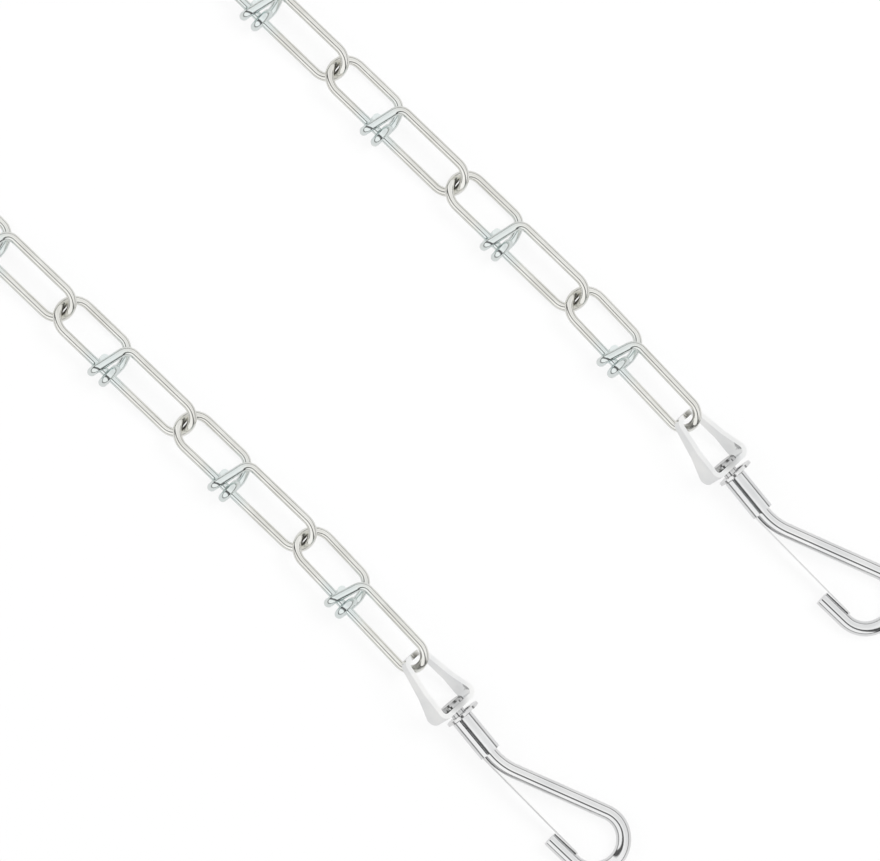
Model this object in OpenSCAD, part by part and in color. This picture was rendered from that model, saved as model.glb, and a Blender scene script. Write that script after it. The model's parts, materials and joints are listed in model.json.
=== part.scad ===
/* [Links] */
// Thickness of the link wire
wire_d = 2.5; // [2.3:0.1:2.7]
// Distance from one interlock to the next
link_pitch = 46.5; // [44:0.5:52]
// Distance from the short end's interlock to the middle of the knot
knot_place = 19.7; // [18:0.1:22]
// Distance from the middle of the strand to the straight wire
straight_leg = 4.75; // [4.4:0.05:5.2]
// Distance from the middle of the strand to the long loop's other leg
long_leg = 4.5; // [4.2:0.05:5]
// The same distance on the last link, whose long loop is narrower
last_leg = 3.4; // [3.2:0.05:4.5]
// Distance from the middle of the strand to the short loop's other leg
short_leg = 5.2; // [4.8:0.05:5.6]
// Angle by which each loop is turned about the strand
loop_roll = 30; // [29:0.5:32]
// Clearance where two links touch
link_play = 0.3; // [0.2:0.05:0.5]
// Distance between the middles of the two wrapped ends
wrap_spread = 4.3; // [3.8:0.1:5]
// Clearance between a wrapped end and the straight wire
wrap_play = 0.12; // [0.08:0.01:0.2]
// Distance from the knot's middle to where the long loop's leg begins to bend
leg_end = 0.8; // [0.5:0.1:1]

/* [How the chain lies] */
// Direction of the first link of the turn, from the right strand
turn_a = 39; // [34:1:42]
// Direction of the middle link
turn_middle = 82; // [80:1:86]
// Direction of the last link of the turn, from the left strand
turn_b = 43; // [38:1:46]
// How far each loose link of the turn is pushed into its neighbour
turn_slack = 2.2; // [2:0.1:2.6]
// How far each loose link of the turn lies to the side
turn_side = 1; // [0.6:0.1:1.2]
// Angle by which the last link is lifted onto the swivel eye
last_lift = 5.75; // [5.5:0.05:6]

/* [Swivel eye] */
// Length of the eye
eye_len = 20.3; // [19:0.1:22]
// Outer width of the eye at its foot
eye_foot_w = 14.7; // [13.5:0.1:16]
// Outer width of the eye at its top
eye_top_w = 9; // [8.6:0.1:9.4]
// Thickness of the strip
eye_t = 1.45; // [1.2:0.05:1.8]
// Width of the strip at the foot
eye_strip_foot = 6.6; // [6:0.1:8]
// Width of the strip in the middle of each leg
eye_strip_leg = 3.6; // [3:0.1:5]
// Width of the strip at the top
eye_strip_top = 2; // [1.8:0.1:2.2]
// Outer radius of the eye's corners
eye_corner = 2.6; // [2.2:0.1:3]
// Angle by which the eye is turned about the shank
eye_roll = 35; // [34:1:37]
// Space between the last link's wire and the eye's strip
eye_slack = 1.4; // [1.2:0.1:1.8]
// How far the snap lies to the side of the last link's bow
snap_side = 0.3; // [0:0.05:0.6]
// Angle of the snap to the strand, seen from above
snap_yaw = 6.9; // [4:0.1:9]
// Angle at which the snap slopes down to its hook
snap_slope = 4.4; // [4:0.1:5]

/* [Hook] */
// Thickness of the hook wire and its shank
hook_d = 4.2; // [3.8:0.1:4.4]
// Distance from the sleeve's top to the knee
hook_knee = 17.1; // [16:0.1:19]
// Angle of the knee
knee_angle = 26.6; // [24:0.1:29]
// Length from the knee to the round of the hook
hook_back = 32.4; // [30:0.1:36]
// Radius of the round of the hook, to the middle of the wire
hook_r = 8.4; // [8:0.1:9.5]
// Angle of the round of the hook
hook_turn = 199.7; // [198:0.1:202]
// Length of the hook's straight tip
tip_len = 9; // [8:0.1:11]
// Thickness of the upset head that holds the eye
head_t = 1.4; // [1:0.1:2]
// Diameter of the upset head
head_d = 7.8; // [7:0.1:8.6]
// Running clearance of the shank in the eye, and of the head
swivel_play = 0.1; // [0.05:0.01:0.1]
// Length of the bare neck between the eye and the washer
neck_len = 1.4; // [1.2:0.1:2]

/* [Washer and sleeve] */
// Diameter of the washer
washer_d = 10.5; // [9.5:0.1:11.5]
// Thickness of the washer
washer_t = 0.8; // [0.6:0.1:1]
// Diameter of the washer's hole
washer_hole = 6.2; // [5.8:0.1:6.6]
// Length of the sleeve
sleeve_len = 12.4; // [11:0.1:13]
// Wall of the sleeve outside the leaf
sleeve_wall = 0.46; // [0.36:0.02:0.76]
// Wall of the sleeve at the leaf's edges
sleeve_rim = 0.18; // [0.14:0.02:0.5]
// Width of the sleeve's lengthwise seam
seam_w = 0.35; // [0.25:0.05:0.6]
// Clearance of the sleeve on the hook wire
sleeve_play = 0.04; // [0.02:0.01:0.08]

/* [Gate] */
// Thickness of the spring leaf
leaf_t = 0.4; // [0.3:0.05:0.5]
// Width of the spring leaf
leaf_w = 4; // [3.4:0.1:4.1]
// Distance from the sleeve's top to the line where the leaf bends
leaf_bend = 20; // [19:0.1:21]
// Length of the leaf beyond that line
leaf_len = 30; // [28:0.1:31]
// Slope of the leaf to the shank
leaf_slope = 5.25; // [5:0.05:5.5]
// Gap between the clamped part and the free part of the leaf
leaf_gap = 0.12; // [0.08:0.01:0.2]

/* [Hidden] */
strand_links = 16;
SIDES = ["a", "b"];
$fn = 48;

// How far each bow passes the interlock
lap = (wire_d + link_play) / 2;
// Wrapped ends lie this far from the middle of the straight wire
wrap_r = wire_d + wrap_play;
// A straight piece of wire is this much thicker than a bent one, and reaches this far into it
straight_extra = 0.03;
straight_lap = 0.1;
// Short straight left between two bends that follow each other
bend_rest = 0.3;
// The same beyond the last bend of a wrapped end
wrap_rest = 0.2;
// How far an end rises where it first crosses the straight wire
cross_rise = 0.35;
// Where the end behind passes under the straight wire
cross_out = 0.35;
cross_side = 0.5;
// Radii of the bends between the loops and the wrapped ends
leg_bend = 3;
short_bend = 4.5;
cross_bend = 6;
bend_ease = 0.18;
// Radius of the hook's knee
knee_r = 18;
// The leaf's space from the shank, and the stretch of it that shows beyond the sleeve
leaf_off = 0.2;
leaf_out = 0.6;
// Gap between the sleeve's top and the washer
washer_gap = 0.35;
// Bevel on the upset head
head_bevel = 0.6;
// Distance from the sleeve's middle to its seam
seam_side = 0.9;
// Where the eye's strip begins to narrow, and where it reaches its width at the legs
foot_share = 0.16;
leg_share = 0.45;
// Cutting shapes reach this far past what they cut
over = 1;
// How much wider the cut is at the eye's foot, so that it only meets the strip's faces there
strip_ease = 0.1;

// Places along the snap, from the sleeve's top
washer_x = -washer_gap - washer_t;
eye_foot_x = washer_x - neck_len;
eye_top_x = eye_foot_x - eye_len;
head_x = eye_foot_x - eye_t - swivel_play;
tip_x = eye_top_x + eye_t + eye_slack + wire_d / 2;
washer_shift = (washer_hole - hook_d) / 2 - swivel_play;
leaf_y = -(hook_d / 2 + leaf_off + leaf_t / 2);
leaf_start = 1;
leaf_exit = sleeve_len + leaf_out;
leaf_bend_y = leaf_y + (leaf_bend - leaf_exit) * tan(leaf_slope);

// The sleeve's slot for the leaf, and its section round that slot
slot_top = hook_d / 4;
slot_low = -leaf_y + leaf_t / 2 + sleeve_play;
slot_w = leaf_w + 2 * sleeve_play;
sleeve_h = 2 * (norm([slot_low, slot_w / 2]) + sleeve_rim);
sleeve_w = 2 * (slot_low + sleeve_wall);

// Rigid moves as matrices
function shift(v) = [[1, 0, 0, v.x], [0, 1, 0, v.y], [0, 0, 1, v.z], [0, 0, 0, 1]];
function yaw(a) = [[cos(a), -sin(a), 0, 0], [sin(a), cos(a), 0, 0], [0, 0, 1, 0], [0, 0, 0, 1]];
function tilt(a) = [[cos(a), 0, sin(a), 0], [0, 1, 0, 0], [-sin(a), 0, cos(a), 0], [0, 0, 0, 1]];
function roll(a) = [[1, 0, 0, 0], [0, cos(a), -sin(a), 0], [0, sin(a), cos(a), 0], [0, 0, 0, 1]];
function place(m, p) = let (q = m * [p.x, p.y, p.z, 1]) [q.x, q.y, q.z];

// Middle of a link's long bow and of its short bow
function long_tip(leg) = [link_pitch + lap, (leg - straight_leg) / 2, 0];
short_tip = [-lap, (short_leg - straight_leg) / 2, 0];

// Half the height between the two legs of each loop
function loop_rise(leg) = (straight_leg + leg) / 2 * tan(loop_roll);

// The middle of the link's wire, from the end wrapped in front to the end wrapped behind
function leg_z(s, leg) = loop_rise(short_leg)
    - (loop_rise(short_leg) + loop_rise(leg)) * (s + lap) / (link_pitch + 2 * lap);
function link_path(leg) =
    let (
        front = knot_place - wrap_spread / 2,
        behind = knot_place + wrap_spread / 2,
        zf = leg_z(front, leg),
        zb = leg_z(behind, leg),
        near = -straight_leg + wrap_r,
        far = -straight_leg - wrap_r,
        long_z = loop_rise(leg),
        short_z = loop_rise(short_leg),
        end_x = link_pitch + lap
    ) [
        [front, near, zf + wrap_rest],
        [front, near, zf - wrap_r],
        [front, far, zf - wrap_r],
        [front, far, zf + wrap_r + cross_rise],
        [knot_place + leg_end, leg, long_z],
        [end_x, leg, long_z],
        [end_x, -straight_leg, -long_z],
        [-lap, -straight_leg, short_z],
        [-lap, short_leg, -short_z],
        [knot_place + leg_end, short_leg, -short_z],
        [behind + cross_out, -cross_side, zb - wrap_r],
        [behind, far, zb - wrap_r - cross_rise],
        [behind, far, zb + wrap_r],
        [behind, near, zb + wrap_r],
        [behind, near, zb - wrap_rest]
    ];
function link_bends(leg) =
    let (
        wrap = wrap_r - wrap_play,
        long_bow = (straight_leg + leg) / 2 / cos(loop_roll) - bend_rest,
        short_bow = (straight_leg + short_leg) / 2 / cos(loop_roll) - bend_rest
    ) [wrap, wrap, wrap - bend_ease, leg_bend, long_bow, long_bow, short_bow, short_bow, short_bend,
        cross_bend, wrap - bend_ease, wrap, wrap];

// Where each link lies
middle_pose = yaw(turn_middle);
turn_pose = [
    middle_pose * shift([link_pitch - turn_slack, turn_side, 0]) * yaw(turn_a - turn_middle),
    middle_pose * yaw(180) * shift([-turn_slack, -turn_side - 2 * short_tip.y, 0])
        * yaw(180 - turn_b - turn_middle)
];
strand_pose = [
    turn_pose[0] * shift([link_pitch - turn_slack, turn_side, 0]) * yaw(-turn_a),
    turn_pose[1] * shift([link_pitch - turn_slack, -turn_side, 0]) * yaw(turn_b)
];
lift = shift(long_tip(long_leg)) * roll(loop_roll) * tilt(-last_lift) * roll(-loop_roll)
    * shift(-long_tip(long_leg));
function link_pose(side, k) = k < strand_links
    ? strand_pose[side] * shift([(k - 1) * link_pitch, 0, 0])
    : link_pose(side, k - 1) * lift * shift([link_pitch, 0, 0]);
function snap_pose(side) =
    shift(place(link_pose(side, strand_links), long_tip(last_leg)))
    * yaw(-snap_yaw) * tilt(snap_slope) * shift([-tip_x, -snap_side, 0]);

// The origin is at the middle of the laid-out chain, on the surface under it
hook_middle = [hook_knee + hook_back * cos(knee_angle) + hook_r * sin(knee_angle),
    hook_back * sin(knee_angle) - hook_r * cos(knee_angle), 0];
hook_reach = hook_r + hook_d / 2;
lowest = loop_rise(short_leg) + (wire_d + straight_extra) / 2;
x_max = place(snap_pose(0), hook_middle).x + hook_reach;
x_min = place(middle_pose, [straight_leg / 2, short_leg, 0]).x - wire_d / 2;
y_max = place(link_pose(0, 1), [0, short_leg, 0]).y + wire_d / 2;
y_min = place(snap_pose(1), hook_middle).y - hook_reach;
origin = [(x_min + x_max) / 2, (y_min + y_max) / 2, -lowest];
base = shift(-origin);

function unit(v) = v / norm(v);
function bend_angle(p, i) = acos(unit(p[i] - p[i - 1]) * unit(p[i + 1] - p[i]));
function setback(p, r, i) = r[i - 1] * tan(bend_angle(p, i) / 2);

// A straight piece of wire between two points
module straight(from, to, d) {
    v = to - from;
    translate(from)
        rotate([0, acos(v.z / norm(v)), atan2(v.y, v.x)])
            cylinder(d = d, h = norm(v));
}

// A round bend between two straight pieces
module bend(a, b, c, r, d) {
    u = unit(b - a);
    v = unit(c - b);
    inward = unit(v - u * (u * v));
    angle = acos(u * v);
    middle = b - u * r * tan(angle / 2) + inward * r;
    up = cross(u, inward);
    multmatrix([
        [-inward.x, u.x, up.x, middle.x],
        [-inward.y, u.y, up.y, middle.y],
        [-inward.z, u.z, up.z, middle.z],
        [0, 0, 0, 1]
    ])
        rotate_extrude(angle = angle)
            translate([r, 0])
                circle(d = d);
}

// One wire, bent at each inner point of its path
module bent_wire(p, r, d) {
    last = len(p) - 1;
    for (i = [0 : last - 1]) {
        u = unit(p[i + 1] - p[i]);
        from = i == 0 ? p[0] : p[i] + u * (setback(p, r, i) - straight_lap);
        to = i + 1 == last ? p[last] : p[i + 1] - u * (setback(p, r, i + 1) - straight_lap);
        straight(from, to, d + straight_extra);
    }
    for (i = [1 : last - 1])
        bend(p[i - 1], p[i], p[i + 1], r[i - 1], d);
}

// One link: a single wire that makes both loops, its ends crossed and wrapped round its straight side
module link(pose, leg) {
    color([0.88, 0.87, 0.84])
        multmatrix(base * pose)
            bent_wire(link_path(leg), link_bends(leg), wire_d);
}

module middle_link() {
    link(middle_pose, long_leg);
}

module turn_link(side) {
    link(turn_pose[side], long_leg);
}

module strand_link(side, k) {
    link(link_pose(side, k), k == strand_links ? last_leg : long_leg);
}

// Outline of the eye, made smaller on all sides by the inset
function arc(c, r, from, to) = [for (i = [0 : 8]) c + r * [cos(from + (to - from) * i / 8),
    sin(from + (to - from) * i / 8)]];
function eye_outline(inset) =
    let (
        foot = [eye_foot_x - eye_corner, eye_foot_w / 2 - eye_corner],
        top = [eye_top_x + eye_corner, eye_top_w / 2 - eye_corner],
        side = 90 + atan2(foot.y - top.y, foot.x - top.x),
        r = eye_corner - inset
    ) concat(
        arc(foot, r, 0, side),
        arc(top, r, side, 180),
        arc([top.x, -top.y], r, 180, 360 - side),
        arc([foot.x, -foot.y], r, 360 - side, 360)
    );

// The eye: a strip bent to a tapered ring, with the shank's hole through its foot
module swivel_eye(side) {
    foot_x = eye_foot_x - eye_len * foot_share;
    leg_x = eye_foot_x - eye_len * leg_share;
    color([0.9, 0.9, 0.9])
        multmatrix(base * snap_pose(side) * roll(-eye_roll))
            difference() {
                intersection() {
                    linear_extrude(height = eye_strip_foot, center = true)
                        difference() {
                            polygon(eye_outline(0));
                            polygon(eye_outline(eye_t));
                        }
                    rotate([90, 0, 0])
                        linear_extrude(height = eye_foot_w + 2 * over, center = true)
                            polygon([
                                [eye_top_x - over, -eye_strip_top / 2],
                                [leg_x, -eye_strip_leg / 2],
                                [foot_x, -eye_strip_foot / 2],
                                [eye_foot_x + over, -eye_strip_foot / 2 - strip_ease],
                                [eye_foot_x + over, eye_strip_foot / 2 + strip_ease],
                                [foot_x, eye_strip_foot / 2],
                                [leg_x, eye_strip_leg / 2],
                                [eye_top_x - over, eye_strip_top / 2]
                            ]);
                }
                translate([eye_foot_x - eye_t - over, 0, 0])
                    rotate([0, 90, 0])
                        cylinder(d = hook_d + 2 * swivel_play, h = eye_t + 2 * over);
            }
}

// The round of the hook as equal bends
round_bends = 3;
round_step = hook_turn / round_bends;
round_side = hook_r * tan(round_step / 2);
function heading(a) = [cos(a), sin(a), 0];
function round_point(k) = k == 0
    ? [hook_knee, 0, 0] + (hook_back + round_side) * heading(knee_angle)
    : round_point(k - 1) + 2 * round_side * heading(knee_angle - k * round_step);
hook_path = concat(
    [[head_x - head_t / 2, 0, 0], [hook_knee, 0, 0]],
    [for (k = [0 : round_bends - 1]) round_point(k)],
    [round_point(round_bends - 1) + (round_side + tip_len) * heading(knee_angle - hook_turn)]
);
hook_bends = concat([knee_r], [for (k = [1 : round_bends]) hook_r - bend_rest]);

// The hook: one wire with an upset head, a straight shank, a knee and the round of the hook
module hook(side) {
    color([0.86, 0.86, 0.87])
        multmatrix(base * snap_pose(side))
            union() {
                bent_wire(hook_path, hook_bends, hook_d);
                translate([head_x - head_t, 0, 0])
                    rotate([0, 90, 0]) {
                        cylinder(d1 = head_d - 2 * head_bevel, d2 = head_d, h = head_t / 2);
                        translate([0, 0, head_t / 2])
                            cylinder(d = head_d, h = head_t / 2);
                    }
            }
}

// The loose washer between the eye and the sleeve
module washer(side) {
    color([0.84, 0.84, 0.84])
        multmatrix(base * snap_pose(side))
            translate([washer_x, washer_shift, 0])
                rotate([0, 90, 0])
                    difference() {
                        cylinder(d = washer_d, h = washer_t);
                        translate([0, 0, -over])
                            cylinder(d = washer_hole, h = washer_t + 2 * over);
                    }
}

// The sleeve: sheet folded round the shank and the foot of the leaf, its edges meeting in a seam
module sleeve(side) {
    color([0.8, 0.8, 0.81])
        multmatrix(base * snap_pose(side))
            difference() {
                rotate([90, 0, 90])
                    linear_extrude(height = sleeve_len)
                        intersection() {
                            circle(d = sleeve_h);
                            square([sleeve_w, sleeve_h + 2 * over], center = true);
                        }
                translate([-over, 0, 0])
                    rotate([0, 90, 0])
                        cylinder(d = hook_d + straight_extra + 2 * sleeve_play, h = sleeve_len + 2 * over);
                translate([-over, -slot_low, -slot_w / 2])
                    cube([sleeve_len + 2 * over, slot_low - slot_top, slot_w]);
                translate([-over, -seam_side - seam_w / 2, 0])
                    cube([sleeve_len + 2 * over, seam_w, sleeve_h]);
            }
}

// The clamped part of the spring leaf
module gate_root(side) {
    slant = (leaf_bend - leaf_exit) / cos(leaf_slope) - leaf_t / 2 - leaf_gap;
    color([0.78, 0.79, 0.8])
        multmatrix(base * snap_pose(side))
            union() {
                translate([leaf_start, leaf_y - leaf_t / 2, -leaf_w / 2])
                    cube([leaf_exit - leaf_start + 0.02, leaf_t, leaf_w]);
                translate([leaf_exit, leaf_y, 0])
                    rotate([0, 0, leaf_slope])
                        translate([0, -leaf_t / 2, -leaf_w / 2])
                            cube([slant, leaf_t, leaf_w]);
            }
}

// The free part of the spring leaf, which is pushed in to open the hook
module gate_leaf(side) {
    color([0.78, 0.79, 0.8])
        multmatrix(base * snap_pose(side))
            translate([leaf_bend, leaf_bend_y, 0])
                rotate([0, 0, leaf_slope])
                    union() {
                        cylinder(d = leaf_t, h = leaf_w, center = true);
                        translate([0, -leaf_t / 2, -leaf_w / 2])
                            cube([leaf_len, leaf_t, leaf_w]);
                    }
}

middle_link();
for (i = [0 : 1]) {
    turn_link(i);
    for (k = [1 : strand_links])
        strand_link(i, k);
    swivel_eye(i);
    hook(i);
    washer(i);
    sleeve(i);
    gate_root(i);
    gate_leaf(i);
}
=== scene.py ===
# %% [markdown]
# This scene dresses a dog tie-out chain that was drawn as exact solids. The chain lies doubled on
# a white floor, with a swivel eye and a snap hook at each end. Only the finish is made here, and
# the two spring leaves, which bend in one piece on the real snap.

# %% Load the solids
import json
import math
import bpy
import bmesh
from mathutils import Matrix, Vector

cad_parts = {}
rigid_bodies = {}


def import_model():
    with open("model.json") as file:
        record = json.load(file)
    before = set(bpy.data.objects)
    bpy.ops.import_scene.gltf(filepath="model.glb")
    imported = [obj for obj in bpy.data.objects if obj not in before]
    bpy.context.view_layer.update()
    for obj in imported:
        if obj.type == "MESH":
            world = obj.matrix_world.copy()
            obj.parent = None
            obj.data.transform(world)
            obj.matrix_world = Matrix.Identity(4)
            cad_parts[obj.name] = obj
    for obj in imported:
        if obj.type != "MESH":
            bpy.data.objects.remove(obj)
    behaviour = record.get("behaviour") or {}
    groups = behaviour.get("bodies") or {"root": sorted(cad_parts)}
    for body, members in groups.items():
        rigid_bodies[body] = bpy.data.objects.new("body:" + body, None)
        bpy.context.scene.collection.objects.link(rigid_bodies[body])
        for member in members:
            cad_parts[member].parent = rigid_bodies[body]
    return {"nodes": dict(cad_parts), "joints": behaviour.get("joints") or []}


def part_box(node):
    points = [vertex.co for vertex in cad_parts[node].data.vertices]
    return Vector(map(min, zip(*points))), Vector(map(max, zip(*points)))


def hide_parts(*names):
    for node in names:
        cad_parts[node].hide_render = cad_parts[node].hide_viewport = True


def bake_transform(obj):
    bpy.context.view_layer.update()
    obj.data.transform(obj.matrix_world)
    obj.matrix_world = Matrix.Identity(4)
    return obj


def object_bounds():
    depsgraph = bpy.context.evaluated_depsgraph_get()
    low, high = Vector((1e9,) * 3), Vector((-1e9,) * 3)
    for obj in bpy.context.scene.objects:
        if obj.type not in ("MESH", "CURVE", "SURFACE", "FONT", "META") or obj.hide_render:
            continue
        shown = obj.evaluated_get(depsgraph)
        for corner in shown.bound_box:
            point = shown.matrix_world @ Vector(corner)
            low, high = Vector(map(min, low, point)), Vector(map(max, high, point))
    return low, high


MM_PER_METRE = 1000

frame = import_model()
cad_low, cad_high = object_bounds()
length = (cad_high[0] - cad_low[0]) * MM_PER_METRE
print("solids", len(frame["nodes"]), "length in mm", round(length, 1))

# %% [markdown]
# The picture was taken from straight above, so near and far links look the same size. A long lens
# held high gives that flat view. The sleeve of the right snap fixes the picture's place, and its
# turn is the direction of the two strands in it.

# %% Camera
PICTURE_WIDTH = 880
PICTURE_HEIGHT = 861
METRES_PER_PIXEL = 0.00028
STRAND_ANGLE = math.radians(43.8)
SLEEVE_PIXEL = (733.7, 477.1)
CAMERA_HEIGHT = 3.0
SENSOR = 36.0
HEAD_TO_SLEEVE = 0.00325

joints = {joint["name"]: joint for joint in frame["joints"]}
swivel = joints["swivel_a"]
sleeve_top = Vector(swivel["pos_m"]) + Vector(swivel["axis"]) * HEAD_TO_SLEEVE
right = Vector((math.cos(STRAND_ANGLE), math.sin(STRAND_ANGLE), 0))
down = Vector((math.sin(STRAND_ANGLE), -math.cos(STRAND_ANGLE), 0))
across = (SLEEVE_PIXEL[0] - PICTURE_WIDTH / 2) * METRES_PER_PIXEL
below = (SLEEVE_PIXEL[1] - PICTURE_HEIGHT / 2) * METRES_PER_PIXEL
target = sleeve_top - right * across - down * below

camera_data = bpy.data.cameras.new("camera")
camera_data.sensor_width = SENSOR
camera_data.lens = SENSOR * CAMERA_HEIGHT / (PICTURE_WIDTH * METRES_PER_PIXEL)
camera = bpy.data.objects.new("camera", camera_data)
camera.location = (target.x, target.y, CAMERA_HEIGHT)
camera.rotation_euler = (0, 0, STRAND_ANGLE)
bpy.context.scene.collection.objects.link(camera)
bpy.context.scene.camera = camera
print("camera over", [round(v, 4) for v in target[:2]], "lens", round(camera_data.lens))

# %% [markdown]
# Shader sums read best as plain sums. This small class wraps a socket, so that 1 - mask or
# mask * 0.2 adds the Math node that it needs. It is for numbers only, because a Math node turns
# a colour grey.

# %% Shader sums
class Value:
    def __init__(self, tree, socket):
        self.tree = tree
        self.socket = socket

    def maths(self, operation, first, second):
        node = self.tree.nodes.new("ShaderNodeMath")
        node.operation = operation
        for slot, given in zip(node.inputs, (first, second)):
            if isinstance(given, Value):
                self.tree.links.new(given.socket, slot)
            else:
                slot.default_value = given
        return Value(self.tree, node.outputs[0])

    def __add__(self, other):
        return self.maths("ADD", self, other)

    def __radd__(self, other):
        return self.maths("ADD", other, self)

    def __sub__(self, other):
        return self.maths("SUBTRACT", self, other)

    def __rsub__(self, other):
        return self.maths("SUBTRACT", other, self)

    def __mul__(self, other):
        return self.maths("MULTIPLY", self, other)

    def __rmul__(self, other):
        return self.maths("MULTIPLY", other, self)


print("shader sums are ready")

# %% [markdown]
# Any other node comes from one method. It takes the node's type, its settings, which are set
# first, and the values or links of its sockets. The stops of a colour ramp are such a setting.
# Where two sockets share a name, they are told apart by their number, as on a Mix node.

# %% Shader nodes
MIX_FIRST = 6
MIX_SECOND = 7
MIX_COLOUR = 2
HALFWAY = 0.5


def set_stops(elements, stops):
    while len(elements) < len(stops):
        elements.new(HALFWAY)
    for element, (place, colour) in zip(elements, stops):
        element.position = place
        element.color = colour


class Recipe:
    def __init__(self, tree):
        self.tree = tree
        tree.nodes.clear()

    def node(self, kind, settings=None, inputs=None, out=0):
        made = self.tree.nodes.new("ShaderNode" + kind)
        for name, value in (settings or {}).items():
            if name == "stops":
                set_stops(made.color_ramp.elements, value)
            else:
                setattr(made, name, value)
        for name, value in (inputs or {}).items():
            if isinstance(value, Value):
                self.tree.links.new(value.socket, made.inputs[name])
            else:
                made.inputs[name].default_value = value
        return Value(self.tree, made.outputs[out]) if len(made.outputs) else None

    def mix(self, mask, first, second):
        colours = {0: mask, MIX_FIRST: first, MIX_SECOND: second}
        return self.node("Mix", {"data_type": "RGBA"}, colours, out=MIX_COLOUR)

    def rise(self, value, low, high):
        return self.node("MapRange", inputs={"Value": value, "From Min": low, "From Max": high})


def new_material(name):
    material = bpy.data.materials.new(name)
    material.use_nodes = True
    return material, Recipe(material.node_tree)


print("shader nodes are ready")

# %% [markdown]
# Plated wire is never quite even. The plating clouds a little, its shine changes from place to
# place, and drawing leaves the faintest ripple. One function makes that metal from two noises,
# the wide clouds and a fine grain. The finishes only differ in colour, in roughness and in how
# wide their clouds are, and in soft round patches of another shade, such as the painted shade
# where two pieces meet. A patch is full in its core and fades out to its reach, and the clouds
# break it up.

# %% Plated metal
CLOUD_RISE = (0.35, 0.68)
CLOUD_DETAIL = 4
CLOUD_ROUGHNESS = 0.06
GRAIN_PER_METRE = 1800
GRAIN_DETAIL = 3
GRAIN_ROUGHNESS = 0.03
GRAIN_STRENGTH = 0.06
GRAIN_HEIGHT = 0.00004
PATCH_CORE = 0.55
PATCH_EVEN = 0.55


def plated(name, light, dark, roughness, clouds_per_metre, patches=()):
    material, recipe = new_material(name)
    place = recipe.node("TexCoord", out="Object")
    clouds = recipe.node(
        "TexNoise", inputs={"Vector": place, "Scale": clouds_per_metre, "Detail": CLOUD_DETAIL}
    )
    grain = recipe.node(
        "TexNoise", inputs={"Vector": place, "Scale": GRAIN_PER_METRE, "Detail": GRAIN_DETAIL}
    )
    colour = recipe.mix(recipe.rise(clouds, *CLOUD_RISE), dark, light)
    # Each patch mixes another shade into the colour, and the dark ones are painted shade
    for centre, reach, shade in patches:
        away = recipe.node(
            "VectorMath", {"operation": "DISTANCE"}, {0: place, 1: centre[:]}, out="Value"
        )
        near = 1 - recipe.rise(away, reach * PATCH_CORE, reach)
        strength = near * (PATCH_EVEN + (1 - PATCH_EVEN) * clouds)
        colour = recipe.mix(strength, colour, shade)
    rough = roughness + CLOUD_ROUGHNESS * clouds + GRAIN_ROUGHNESS * grain
    bump = recipe.node(
        "Bump", inputs={"Height": grain, "Strength": GRAIN_STRENGTH, "Distance": GRAIN_HEIGHT}
    )
    shader = recipe.node(
        "BsdfPrincipled",
        inputs={"Base Color": colour, "Roughness": rough, "Metallic": 1.0, "Normal": bump},
    )
    recipe.node("OutputMaterial", inputs={"Surface": shader})
    return material


print("plating has", GRAIN_PER_METRE, "grains to the metre")

# %% [markdown]
# A solid may come with plain materials of its own. This helper takes them off and puts one finish
# on all of its faces.

# %% Put a finish on a solid
def finish(node, material):
    mesh = frame["nodes"][node].data
    mesh.materials.clear()
    mesh.materials.append(material)
    for face in mesh.polygons:
        face.material_index = 0


print("solids that wait for a finish", len(frame["nodes"]))

# %% [markdown]
# The links look warm grey, but their knots look bluish, because the wrapped turns there are close
# together and catch a cooler light. Where two bows hang in each other, each lies in the other's
# shade, which is painted in dark. So each link gets a soft blue patch about its knot and a small
# patch of painted shade at either end. The hinges at a link's two ends give its direction, and
# every knot lies the same way along it and to the side of its straight leg. Only the middle link
# carries both of its hinges on its own bows, so its knot is a little further from the first one.

# %% Patches of a link
KNOT_ALONG = 0.0183
KNOT_ALONG_MIDDLE = 0.0211
KNOT_ASIDE = 0.003
KNOT_REACH = 0.0095
KNOT_BLUE = (0.79, 0.86, 0.86, 1)
CONTACT = 0.0014
CONTACT_REACH = 0.0021
# Painted shade, dark in the colour itself, where two wires hang in each other
PAINTED_CONTACT_SHADE = (0.3, 0.29, 0.27, 1)

hinges = {joint["child"]: Vector(joint["pos_m"]) for joint in frame["joints"]}
next_hinge = {
    joint["parent"]: Vector(joint["pos_m"])
    for joint in frame["joints"] if joint["child"] != "turn_link_b"
}


def patches_of(name):
    middle_link = name not in hinges
    start = hinges["turn_link_b"] if middle_link else hinges[name]
    end = next_hinge[name]
    along = end - start
    along.z = 0
    along.normalize()
    aside = Vector((along.y, -along.x, 0))
    low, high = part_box(name)
    reach = KNOT_ALONG_MIDDLE if middle_link else KNOT_ALONG
    knot = start + along * reach + aside * KNOT_ASIDE
    knot.z = (low[2] + high[2]) / 2
    inside = CONTACT if middle_link else -CONTACT
    return [
        (knot, KNOT_REACH, KNOT_BLUE),
        # The two dark patches are painted shade at the ends where the bows meet
        (start + along * inside, CONTACT_REACH, PAINTED_CONTACT_SHADE),
        (end - along * CONTACT, CONTACT_REACH, PAINTED_CONTACT_SHADE),
    ]


print("patches on each link", len(patches_of("middle_link")))

# %% [markdown]
# The patches lie at another place on every link, so each link has its own copy of the finish.

# %% Links
LINK_LIGHT = (0.935, 0.932, 0.895, 1)
LINK_DARK = (0.835, 0.828, 0.785, 1)

links = [name for name in frame["nodes"] if "link" in name]
for name in links:
    wire = plated(
        "wire_" + name, LINK_LIGHT, LINK_DARK,
        roughness=0.09, clouds_per_metre=140, patches=patches_of(name),
    )
    finish(name, wire)
print("links finished", len(links))

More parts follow.
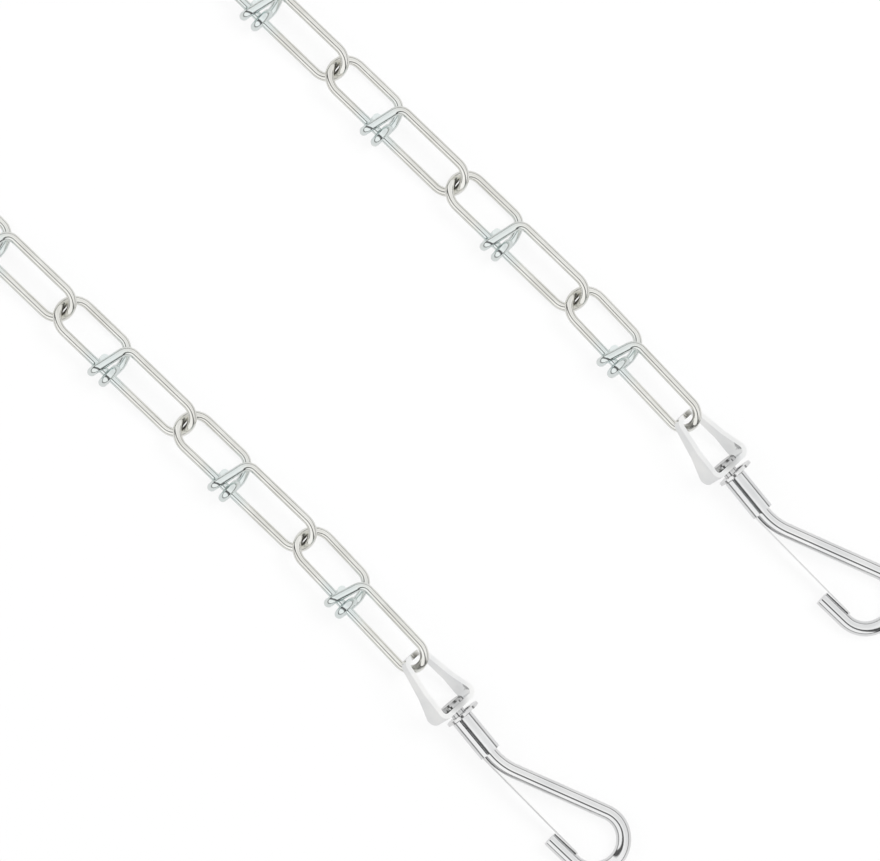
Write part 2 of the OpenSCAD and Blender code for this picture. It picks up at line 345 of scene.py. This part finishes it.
# %% [markdown]
# Painted shade darkens the upset head of each hook and the foot of the eye that it turns in. The
# eye's top has the same painted shade as the link that hangs there.

# %% Patches of the snaps
HEAD_BEHIND_SWIVEL = 0.0028
HEAD_REACH = 0.0058
# Painted shade on the hook's head and the eye's foot, in the gap between them
PAINTED_HEAD_SHADE = (0.3, 0.3, 0.3, 1)
EYE_TOP_BEHIND_HINGE = 0.0026
SIDES = "ab"

heads = []
eye_tops = []
for side in SIDES:
    swivel = joints["swivel_" + side]
    shank = Vector(swivel["axis"])
    heads.append((Vector(swivel["pos_m"]) - shank * HEAD_BEHIND_SWIVEL, HEAD_REACH, PAINTED_HEAD_SHADE))
    top = hinges["swivel_eye_" + side] - shank * EYE_TOP_BEHIND_HINGE
    # The eye's top gets the painted shade where the link hangs in it
    eye_tops.append((top, CONTACT_REACH, PAINTED_CONTACT_SHADE))
print("shaded heads", len(heads), "and eye tops", len(eye_tops))

# %% [markdown]
# The snaps are brighter and more neutral than the links, polished before plating, so they mirror
# the room in thin dark lines. Each kind of piece has one finish for both sides, given by its light
# and its dark shade.

# %% Snap pieces
STRIP = ((0.95, 0.95, 0.94, 1), (0.85, 0.86, 0.865, 1))
HOOK_WIRE = ((0.91, 0.91, 0.91, 1), (0.83, 0.835, 0.84, 1))
WASHER = ((0.9, 0.9, 0.9, 1), (0.82, 0.82, 0.82, 1))
SLEEVE = ((0.9, 0.905, 0.91, 1), (0.82, 0.825, 0.83, 1))
FINISHES = {
    # The strip and the hook wire carry the painted shade about the heads
    "swivel_eye": plated(
        "strip_plate", *STRIP, roughness=0.03, clouds_per_metre=120, patches=heads + eye_tops
    ),
    "hook": plated("hook_plate", *HOOK_WIRE, roughness=0.05, clouds_per_metre=90, patches=heads),
    "washer": plated("washer_plate", *WASHER, roughness=0.1, clouds_per_metre=160),
    "sleeve": plated("sleeve_plate", *SLEEVE, roughness=0.07, clouds_per_metre=110),
}

for piece, material in FINISHES.items():
    for side in SIDES:
        finish(piece + "_" + side, material)
print("snap pieces finished", len(FINISHES) * len(SIDES))

# %% [markdown]
# A stamped piece never has a knife-sharp edge. A small bevel rounds the edges of the strip, the
# sleeve and the washer, and draws the bright line along them.

# %% Rounded edges
EDGE_ROUND = {"swivel_eye": 0.0003, "sleeve": 0.00015, "washer": 0.00012}
ROUND_STEPS = 3
SHARP_EDGE = math.radians(40)

for piece, width in EDGE_ROUND.items():
    for side in SIDES:
        edge = frame["nodes"][piece + "_" + side].modifiers.new("round_edge", "BEVEL")
        edge.width = width
        edge.segments = ROUND_STEPS
        edge.limit_method = "ANGLE"
        edge.angle_limit = SHARP_EDGE
        edge.harden_normals = True
print("pieces with rounded edges", len(EDGE_ROUND) * len(SIDES))

# %% [markdown]
# On the real snap the leaf is one strip of spring steel that bends over its whole length. The
# solids hold it as a clamped root and a free part that hinges. One strip will stand for both. Its
# place is measured on the two solids first: along the shank, sideways, and up the leaf's width.

# %% Measure the leaves
LEAF_THICKNESS = 0.0004


def leaf_frame(side):
    hinge = joints["gate_" + side + "_hinge"]
    spin = joints["washer_" + side + "_spin"]
    along = Vector(spin["axis"]).normalized()
    up = Vector(hinge["axis"]).normalized()
    return Vector(hinge["pos_m"]), along, up.cross(along), up


def extent(node, origin, direction):
    values = [(v.co - origin).dot(direction) for v in frame["nodes"][node].data.vertices]
    return min(values), max(values)


def free_end(side):
    bend, along, sideways, up = leaf_frame(side)
    free = [v.co - bend for v in frame["nodes"]["gate_leaf_" + side].data.vertices]
    reach = max(p.dot(along) for p in free)
    end = [p for p in free if p.dot(along) > reach - LEAF_THICKNESS]
    tip = sum(end, Vector()) / len(end)
    flat = tip - up * tip.dot(up)
    return flat.dot(along), math.atan2(flat.dot(sideways), flat.dot(along))


reach, slope = free_end("a")
print("leaf reaches", round(reach * MM_PER_METRE, 1), "mm, slope", round(math.degrees(slope), 1))

# %% [markdown]
# Seen along its width, the leaf lies flat in the sleeve and then slants to the tip of the hook. It
# has many stations along it, so that it can curve between them when the gate is pushed in.

# %% Profile of a leaf
LEAF_STATIONS = 48


def leaf_profile(side):
    bend, along, sideways = leaf_frame(side)[:3]
    start = extent("gate_root_" + side, bend, along)[0]
    root_level = extent("gate_root_" + side, bend, sideways)[0] + LEAF_THICKNESS / 2
    reach, slope = free_end(side)
    slant_start = root_level / math.tan(slope)
    profile = []
    for step in range(LEAF_STATIONS + 1):
        s = start + (reach - start) * step / LEAF_STATIONS
        level = root_level if s < slant_start else s * math.tan(slope)
        profile.append((s, level))
    return profile


print("stations on a leaf", len(leaf_profile("a")))

# %% [markdown]
# A ring of four corners stands at each station. Its corners lie half the thickness and half the
# width away from the profile.

# %% Rings of a leaf
CORNERS = ((-1, -1), (1, -1), (1, 1), (-1, 1))


def leaf_rings(mesh, side):
    bend, along, sideways, up = leaf_frame(side)
    low, high = extent("gate_leaf_" + side, bend, up)
    half_width = (high - low) / 2
    rings = []
    for s, level in leaf_profile(side):
        centre = bend + along * s + sideways * level
        rings.append([
            mesh.verts.new(centre + sideways * LEAF_THICKNESS / 2 * a + up * half_width * b)
            for a, b in CORNERS
        ])
    return rings


print("corners in a ring", len(CORNERS))

# %% [markdown]
# Each ring, joined to the next, makes the strip, and the first and the last one close its ends. A
# faint bevel takes the sharpness off its edges. The leaf is duller than the hook, as spring steel
# is.

# %% Draw the leaves
LEAF_EDGE = 0.00006
LEAF_EDGE_STEPS = 2
LEAF_STEEL = ((0.86, 0.86, 0.86, 1), (0.78, 0.78, 0.78, 1))
leaf_steel = plated("leaf_steel", *LEAF_STEEL, roughness=0.18, clouds_per_metre=200)


def make_leaf(side):
    mesh = bmesh.new()
    rings = leaf_rings(mesh, side)
    for first, second in zip(rings, rings[1:]):
        for here in range(len(CORNERS)):
            after = (here + 1) % len(CORNERS)
            mesh.faces.new((first[here], first[after], second[after], second[here]))
    mesh.faces.new(rings[0][::-1])
    mesh.faces.new(rings[-1])
    bmesh.ops.recalc_face_normals(mesh, faces=mesh.faces)
    data = bpy.data.meshes.new("spring_leaf_" + side)
    mesh.to_mesh(data)
    mesh.free()
    leaf = bpy.data.objects.new("spring_leaf_" + side, data)
    bpy.context.scene.collection.objects.link(leaf)
    data.materials.append(leaf_steel)
    edge = leaf.modifiers.new("round_edge", "BEVEL")
    edge.width = LEAF_EDGE
    edge.segments = LEAF_EDGE_STEPS
    return leaf


leaves = {side: make_leaf(side) for side in SIDES}
print("leaves drawn", len(leaves))

# %% [markdown]
# The leaf takes the place of its two solids.

# %% Leaves in place of the solids
BLEND_REACH = 0.003

for side, leaf in leaves.items():
    bend, along = leaf_frame(side)[:2]
    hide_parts("gate_root_" + side, "gate_leaf_" + side)
    bend - along * BLEND_REACH
    bend + along * BLEND_REACH
    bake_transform(leaf)
    print("leaf", side, "vertices", len(leaf.data.vertices))

# %% [markdown]
# The background is pure white. The floor is clear to the camera, which then sees the white room,
# and a little greyer to mirrors, because the floor beside a wire lies in its shade. That draws the
# thin grey outline that bright metal has on white paper. A small share of it is a real surface,
# which keeps a faint shadow. Being clear, it hides nothing when a joint takes a strand below it.

# %% Floor
WHITE = (1, 1, 1, 1)
FLOOR_PAINT = (0.98, 0.98, 0.98, 1)
SHADOW_SHARE = 0.12
FLOOR_SIZE = 6.0
FLOOR_DROP = 0.0002
MIRRORED_FLOOR = 0.76


def make_floor():
    bpy.ops.mesh.primitive_plane_add(size=FLOOR_SIZE, location=(0, 0, -FLOOR_DROP))
    floor = bpy.context.object
    floor.name = "floor"
    material, recipe = new_material("floor_white")
    seen = recipe.node("LightPath", out="Is Camera Ray")
    mirrored = recipe.node("LightPath", out="Is Glossy Ray")
    shadowed = recipe.node("BsdfDiffuse", inputs={"Color": FLOOR_PAINT})
    pale = recipe.node("Emission", inputs={"Color": WHITE, "Strength": MIRRORED_FLOOR})
    clear = recipe.node("BsdfTransparent", inputs={"Color": WHITE})
    plain = recipe.node("MixShader", inputs={0: seen, 1: pale, 2: clear})
    share = (seen + mirrored) * (1 - SHADOW_SHARE)
    both = recipe.node("MixShader", inputs={0: share, 1: shadowed, 2: plain})
    recipe.node("OutputMaterial", inputs={"Surface": both})
    floor.data.materials.append(material)
    print("floor", FLOOR_SIZE, "m")


make_floor()

# %% [markdown]
# Polished wire mirrors the whole room, squeezed across its width, so its look is decided by what
# stands round it. A round wire seen from above shows the sky straight overhead in its middle and
# the horizon at 0.7 of its radius. The photographer's tent was white with a few dark slits. Here
# one slit runs beside the camera, along the strands, and one runs low round the whole room. They
# draw the thin dark lines that make bright metal read as metal. Each is a band in a colour ramp.

# %% Bands of the tent
# Each stop is a place across the strands, from one side to the other, and a brightness
ACROSS = [
    (-1.0, 0.9), (-0.95, 1.0), (-0.46, 1.0), (-0.37, 0.12), (-0.13, 0.08), (-0.06, 1.0),
    (0.12, 0.98), (0.3, 0.88), (0.75, 0.84), (0.9, 0.96), (1.0, 0.9),
]
# The same from the horizon upwards
UPWARDS = [(0.0, 0.8), (0.05, 0.22), (0.2, 0.22), (0.29, 1.0), (1.0, 1.0)]

world = bpy.data.worlds.new("studio")
bpy.context.scene.world = world
world.use_nodes = True
sky = Recipe(world.node_tree)


def bands(value, stops):
    low = stops[0][0]
    reach = stops[-1][0] - low
    shades = [((place - low) / reach, (level, level, level, 1)) for place, level in stops]
    return sky.node("ValToRGB", {"stops": shades}, {"Fac": (value - low) * (1 / reach)})


print("bands across", len(ACROSS), "and upwards", len(UPWARDS))

# %% [markdown]
# The tent is one ramp times the other. It is there for mirrors only. The camera sees plain white,
# and everything else is lit by an even room, so no slit casts a stripe on the floor.

# %% World
ROOM_LEVEL = 0.6

direction = sky.node("TexCoord", out="Generated")
sideways = sky.node("SeparateXYZ", inputs={"Vector": direction}, out="Y")
height = sky.node("SeparateXYZ", inputs={"Vector": direction}, out="Z")
tent = bands(sideways, ACROSS) * bands(height, UPWARDS)
mirrored_room = sky.node("Background", inputs={"Color": tent, "Strength": 1.0})
plain_room = sky.node("Background", inputs={"Color": WHITE, "Strength": ROOM_LEVEL})
white_room = sky.node("Background", inputs={"Color": WHITE, "Strength": 1.0})
glossy = sky.node("LightPath", out="Is Glossy Ray")
camera_ray = sky.node("LightPath", out="Is Camera Ray")
lit = sky.node("MixShader", inputs={0: glossy, 1: plain_room, 2: mirrored_room})
whole = sky.node("MixShader", inputs={0: camera_ray, 1: lit, 2: white_room})
sky.node("OutputWorld", inputs={"Surface": whole})
print("world nodes", len(world.node_tree.nodes))

# %% [markdown]
# Two large soft lamps give the floor its faint shadow. The metal doesn't mirror them, since it
# already mirrors the tent that they would light.

# %% Lamps
# Each lamp's place in metres, its power in watts and its width in metres
LAMPS = {"key_lamp": ((0.7, 0.9, 1.4), 13.5, 0.8), "fill_lamp": ((-0.9, -0.6, 1.2), 6, 1.0)}

for name, (place, power, size) in LAMPS.items():
    lamp_data = bpy.data.lights.new(name, "AREA")
    lamp_data.energy = power
    lamp_data.size = size
    lamp = bpy.data.objects.new(name, lamp_data)
    lamp.location = place
    lamp.rotation_euler = (-Vector(place)).to_track_quat("-Z", "Y").to_euler()
    lamp.visible_glossy = False
    bpy.context.scene.collection.objects.link(lamp)
print("lamps", len(LAMPS))

# %% [markdown]
# Blender's first choice of view softens bright colours. The Standard view shows a colour as it is
# written, so that white paper stays white.

# %% View
bpy.context.scene.view_settings.view_transform = "Standard"
print("view", bpy.context.scene.view_settings.view_transform)
